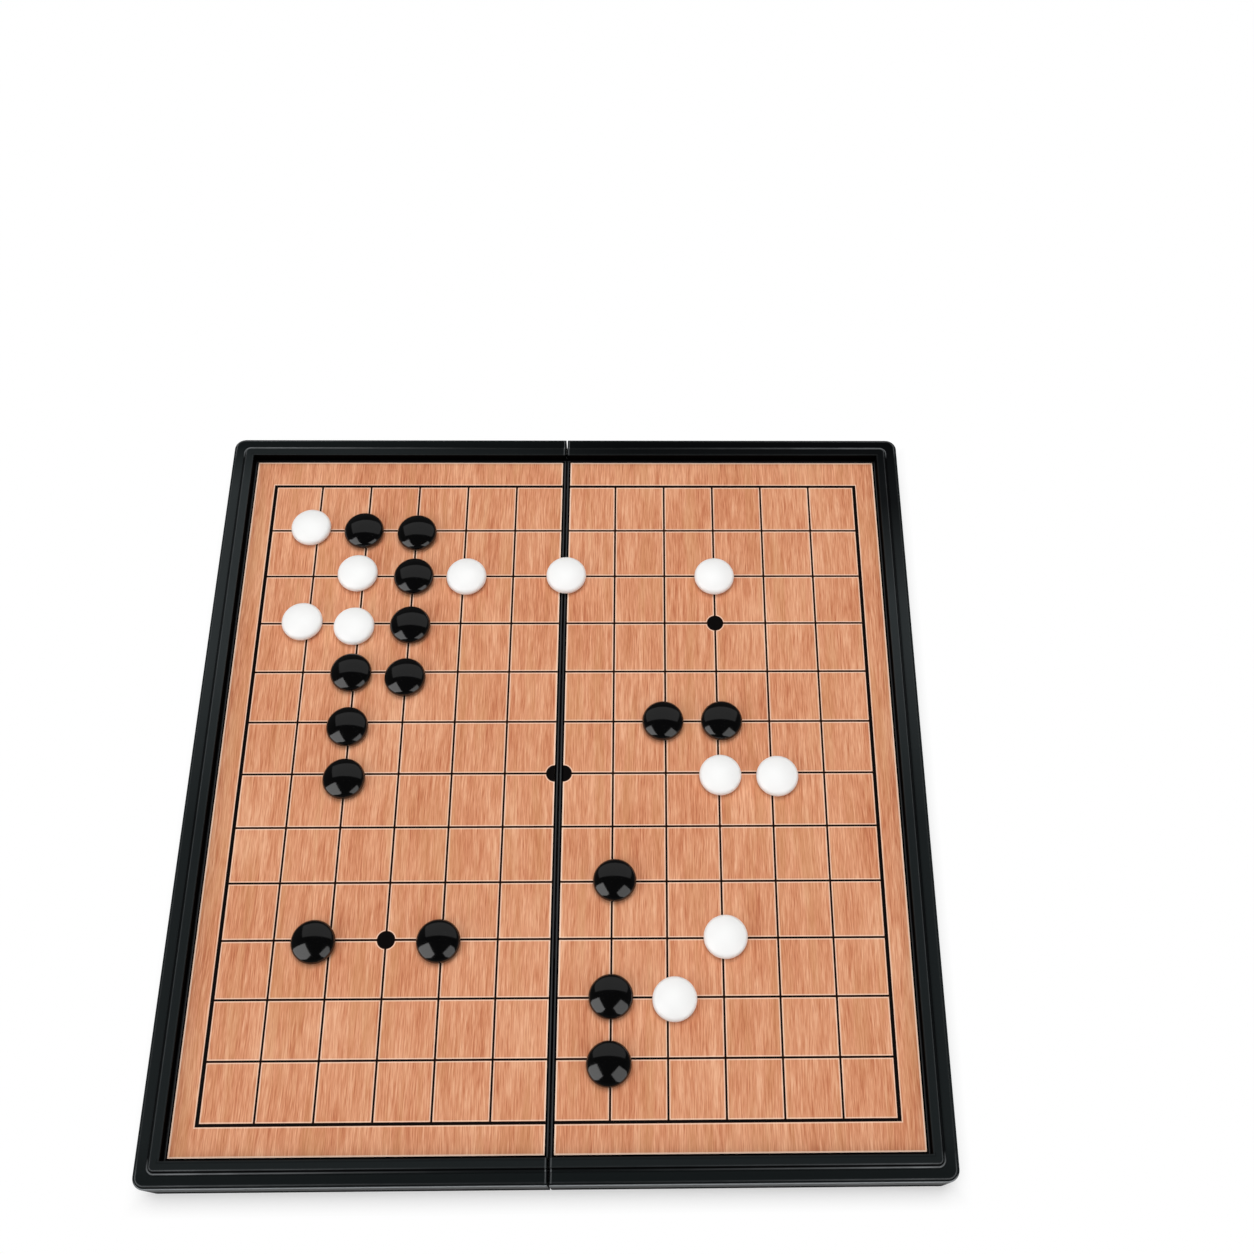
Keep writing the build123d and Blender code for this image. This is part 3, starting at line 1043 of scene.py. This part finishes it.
@dataclass
class RubberFeet:
    """Four plugged rubber feet under each half, each turned to its own profile."""

    radius: float = 4.6 * MM
    head: float = 2.6 * MM
    stem_radius: float = 1.9 * MM
    stem: float = 4.0 * MM
    sole_round: float = 0.6 * MM
    shoulder_round: float = 0.3 * MM
    dimple_radius: float = 2.4 * MM
    dimple_depth: float = 0.3 * MM
    segments: int = 48
    shoulder_steps: int = 5
    sole_steps: int = 7

    def shape(self) -> Shape:
        """Turn a foot: stem, rounded head, and a shallow dimple in its sole."""
        top = self.head + self.stem
        centre = (self.radius - self.shoulder_round, self.head - self.shoulder_round)
        shoulder = arc(centre, self.shoulder_round, 0, np.pi / 2, self.shoulder_steps)
        centre = (self.radius - self.sole_round, self.sole_round)
        sole = arc(centre, self.sole_round, np.pi / 2, np.pi, self.sole_steps)
        stem = [(0, top), (self.stem_radius, top), (self.stem_radius, self.head)]
        ceiling = (self.dimple_radius - self.dimple_depth, self.dimple_depth)
        dimple = [(self.dimple_radius, 0), ceiling, (0, self.dimple_depth)]
        return turned(np.concatenate([stem, shoulder, sole, dimple]), self.segments)

    def build(self, maker: Maker) -> None:
        """Set a foot in each corner place of each half's group of feet."""
        for side in ("left", "right"):
            node = f"{side}_rubber_feet"
            low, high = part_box(node)
            places = [
                (x, y, low.z)
                for x in (low.x + self.radius, high.x - self.radius)
                for y in (low.y + self.radius, high.y - self.radius)
            ]
            for number, place in enumerate(places, start=1):
                name, shape = f"{side}_rubber_foot_{number}", self.shape().moved(place)
                foot = maker.piece(name, shape, FootRubber(), f"{side}_half")
                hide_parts(node)


def disc_magnet(radius: float, height: float, bevel: float, segments: int) -> Shape:
    """Turn a disc magnet with a small bevel at both rims, standing on z = 0.

    Args:
        radius: its radius.
        height: its height.
        bevel: how far each rim is cut back.
        segments: steps in the full turn.

    Returns:
        The shape.
    """
    face = radius - bevel
    upper = [(0, height), (face, height), (radius, height - bevel)]
    return turned(np.array([*upper, (radius, bevel), (face, 0), (0, 0)]), segments)


@dataclass
class ClosingMagnets:
    """Two plated disc magnets in the outer wall of each half."""

    bevel: float = 0.25 * MM
    segments: int = 64

    def build(self, maker: Maker) -> None:
        """Set a magnet at each end of each half's pair."""
        for side in ("left", "right"):
            node = f"{side}_closing_magnets"
            low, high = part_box(node)
            radius = (high.x - low.x) / 2
            disc = disc_magnet(radius, high.z - low.z, self.bevel, self.segments)
            for number, y in enumerate((low.y + radius, high.y - radius), start=1):
                shape = disc.moved((low.x + radius, y, low.z))
                name = f"{side}_closing_magnet_{number}"
                magnet = maker.piece(name, shape, NICKEL, f"{side}_half")
                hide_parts(node)


@dataclass
class StoneSet:
    """The white and black stones: a domed shell with a disc magnet in its flat base."""

    edge_round: float = 2.0 * MM
    base_cut: float = 0.1 * MM
    magnet_radius: float = 3.0 * MM
    magnet_height: float = 2.0 * MM
    magnet_gap: float = 0.05 * MM
    magnet_recess: float = 0.1 * MM
    magnet_bevel: float = 0.15 * MM
    rim_round: float = 0.12 * MM
    segments: int = 80
    magnet_segments: int = 48
    dome_steps: int = 20
    edge_steps: int = 22

    def shell(self, radius: float, height: float) -> Shape:
        """Turn a stone's shell.

        A dome arc meets a smaller edge arc where both lean alike. Below lie the flat base and
        the round pocket for the magnet.

        Args:
            radius: the stone's radius at its widest.
            height: its height.

        Returns:
            The shell, standing on z = 0.
        """
        edge = (radius - self.edge_round, self.edge_round - self.base_cut)
        drop = height - edge[1]
        dome = (edge[0] ** 2 + drop**2 - self.edge_round**2) / (2 * (drop - self.edge_round))
        lean = math.atan2(edge[0], edge[1] - height + dome)
        foot = math.pi - math.acos(edge[1] / self.edge_round)
        pocket = self.magnet_radius + self.magnet_gap
        ceiling = self.magnet_height + self.magnet_recess + self.magnet_gap
        profile = np.concatenate([
            arc((0, height - dome), dome, 0, lean, self.dome_steps),
            arc(edge, self.edge_round, lean, foot, self.edge_steps)[1:],
            [(pocket + self.rim_round, 0), (pocket, self.rim_round)],
            [(pocket, ceiling), (0, ceiling)],
        ])
        return turned(profile, self.segments)

    def finishes(self, base_z: float) -> dict[StoneColour, StonePlastic]:
        """Give both plastics, whose parting line is at the stones' widest height."""
        parting = (base_z + self.edge_round - self.base_cut) / MM
        white = {"colour": (250, 250, 249), "cloud": (247, 247, 246), "roughness": 0.3}
        black = {"colour": (4, 4, 4), "cloud": (6, 6, 7), "roughness": 0.08, "specular": 0.65}
        return {
            colour: StonePlastic(f"{colour.value}_stone_plastic", parting_mm=parting, **look)
            for colour, look in zip(StoneColour, (white, black))
        }

    def build(self, maker: Maker) -> None:
        """Set a shell and a magnet in the place of every stone of the model."""
        base_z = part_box("white_stone_01")[0].z
        finishes = self.finishes(base_z)
        disc = disc_magnet(
            self.magnet_radius, self.magnet_height, self.magnet_bevel, self.magnet_segments
        )
        for colour in StoneColour:
            prefix = f"{colour.value}_stone_"
            for node in sorted(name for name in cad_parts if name.startswith(prefix)):
                low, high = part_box(node)
                radius = (high.x - low.x) / 2
                place = Vector((low.x + radius, (low.y + high.y) / 2, low.z))
                shell = maker.piece(
                    f"{node}_shell",
                    self.shell(radius, high.z - low.z).moved(place),
                    finishes[colour],
                    node,
                )
                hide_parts(node)
                magnet = disc.moved(place + Vector((0, 0, self.magnet_recess)))
                maker.piece(f"{node}_magnet", magnet, NICKEL, node)


@dataclass(frozen=True)
class SoftBox:
    """A soft studio lamp: where it hangs, how large it is and how bright its face looks."""

    name: str
    place: Place
    size: Span
    brightness: float
    in_gloss: bool = True

    def add(self, aim: Vector) -> None:
        """Hang the lamp facing a point; its power is pi times its area times its brightness."""
        lamp = bpy.data.lights.new(self.name, "AREA")
        lamp.shape = "RECTANGLE"
        lamp.size, lamp.size_y = self.size
        lamp.energy = math.pi * self.size[0] * self.size[1] * self.brightness
        holder = put(self.name, lamp)
        holder.location = self.place
        ahead = aim - Vector(self.place)
        holder.rotation_euler = ahead.to_track_quat("-Z", "Y").to_euler()
        holder.visible_camera = False
        holder.visible_glossy = self.in_gloss
        LOG.info("%s: lamp at %s", self.name, self.place)


@dataclass
class Studio:
    """A white sweep, soft lamps and the camera of the photograph."""

    camera_place: Place = (0.03262, -0.17912, 0.52724)
    heading_deg: float = 2.829
    down_deg: float = 64.88
    roll_deg: float = 2.478
    focal_px: float = 1430.0
    axis_right_of_middle_px: float = 48.48
    sensor: float = 36.0
    floor_half: float = 6.0
    floor_drop: float = 0.0001
    floor_name: str = "white_sweep"
    zenith: float = 0.02
    horizon: float = 0.1
    zenith_from: float = 0.8
    clip: Span = (0.01, 50.0)
    lamps: tuple[SoftBox, ...] = (
        SoftBox("left_soft_box", (-0.989, -0.535, 0.728), (0.898, 1.593), 2.1),
        SoftBox("right_soft_box", (0.613, -0.575, 0.599), (0.59, 1.325), 1.45),
        SoftBox("back_panel", (0.011, 0.489, 0.648), (1.425, 0.559), 0.35),
        SoftBox("overhead_fill", (0.05, 0.45, 1.6), (1.1, 1.1), 4.6, in_gloss=False),
    )

    def add_floor(self) -> None:
        """Lay the sweep: a flat grid of two by two squares just under the feet."""
        step = np.linspace(-self.floor_half, self.floor_half, 3)
        grid_x, grid_y = np.meshgrid(step, step, indexing="xy")
        grid_z = np.full_like(grid_x, -self.floor_drop)
        points = np.stack([grid_x, grid_y, grid_z], axis=-1).reshape(-1, 3)
        number = np.arange(grid_x.size).reshape(grid_x.shape)
        corners = [number[:-1, :-1], number[:-1, 1:], number[1:, 1:], number[1:, :-1]]
        faces = np.stack(corners, axis=-1).reshape(-1, 4)
        mesh = bpy.data.meshes.new(self.floor_name)
        mesh.from_pydata(points.tolist(), [], faces.tolist())
        mesh.materials.append(WhiteTable().material())
        floor = put(self.floor_name, mesh)

    def add_world(self) -> None:
        """Surround the set: dim, dimmest overhead, and white to the camera."""
        world = bpy.data.worlds.new("studio")
        world.use_nodes = True
        bpy.context.scene.world = world
        graph = Graph(world.node_tree)
        way = graph.node("ShaderNodeTexCoord", {}, {}, "Generated")
        up = graph.node("ShaderNodeSeparateXYZ", {}, {0: way}, "Z")
        level = self.horizon + (self.zenith - self.horizon) * up.rise(0.0, self.zenith_from)
        camera = graph.node("ShaderNodeLightPath", {}, {}, "Is Camera Ray")
        seen = level + camera * (1.0 - level)
        sky = graph.node("ShaderNodeBackground", {}, {"Color": WHITE, "Strength": seen})
        graph.node("ShaderNodeOutputWorld", {}, {"Surface": sky})

    def add_camera(self) -> None:
        """Set the camera up by its heading, its look down and its roll, as for the photograph."""
        angles = (self.heading_deg, self.down_deg, self.roll_deg)
        heading, down, roll = (math.radians(angle) for angle in angles)
        east, north, level = math.sin(heading), math.cos(heading), math.cos(down)
        ahead = Vector((east * level, north * level, -math.sin(down)))
        level_right = Vector((north, -east, 0.0))
        level_up = level_right.cross(ahead)
        right = level_right * math.cos(roll) + level_up * math.sin(roll)
        up = right.cross(ahead)
        lens = bpy.data.cameras.new("photo_camera")
        lens.sensor_width = self.sensor
        lens.lens = self.sensor * self.focal_px / PHOTO_PIXELS
        lens.shift_x = -self.axis_right_of_middle_px / PHOTO_PIXELS
        lens.clip_start, lens.clip_end = self.clip
        holder = put("photo_camera", lens)
        turn = Matrix((right, up, -ahead)).transposed().to_4x4()
        holder.matrix_world = Matrix.Translation(self.camera_place) @ turn
        bpy.context.scene.camera = holder

    def build(self) -> None:
        """Set up the floor, the world, the lamps and the camera."""
        bpy.context.scene.view_settings.view_transform = "Standard"
        self.add_floor()
        self.add_world()
        for lamp in self.lamps:
            lamp.add(Vector((0.0, 0.0, 0.0)))
        self.add_camera()


def main() -> None:
    """Build the set, sub-assembly by sub-assembly, and its studio."""
    logging.basicConfig(level=logging.INFO, format="%(name)s: %(message)s")
    maker = Maker()
    for part in (FoldingCase(), PlayingSurface(), RubberFeet(), ClosingMagnets(), StoneSet()):
        part.build(maker)
        LOG.info("%s is done", type(part).__name__)
    Studio().build()


if __name__ == "__main__":
    main()
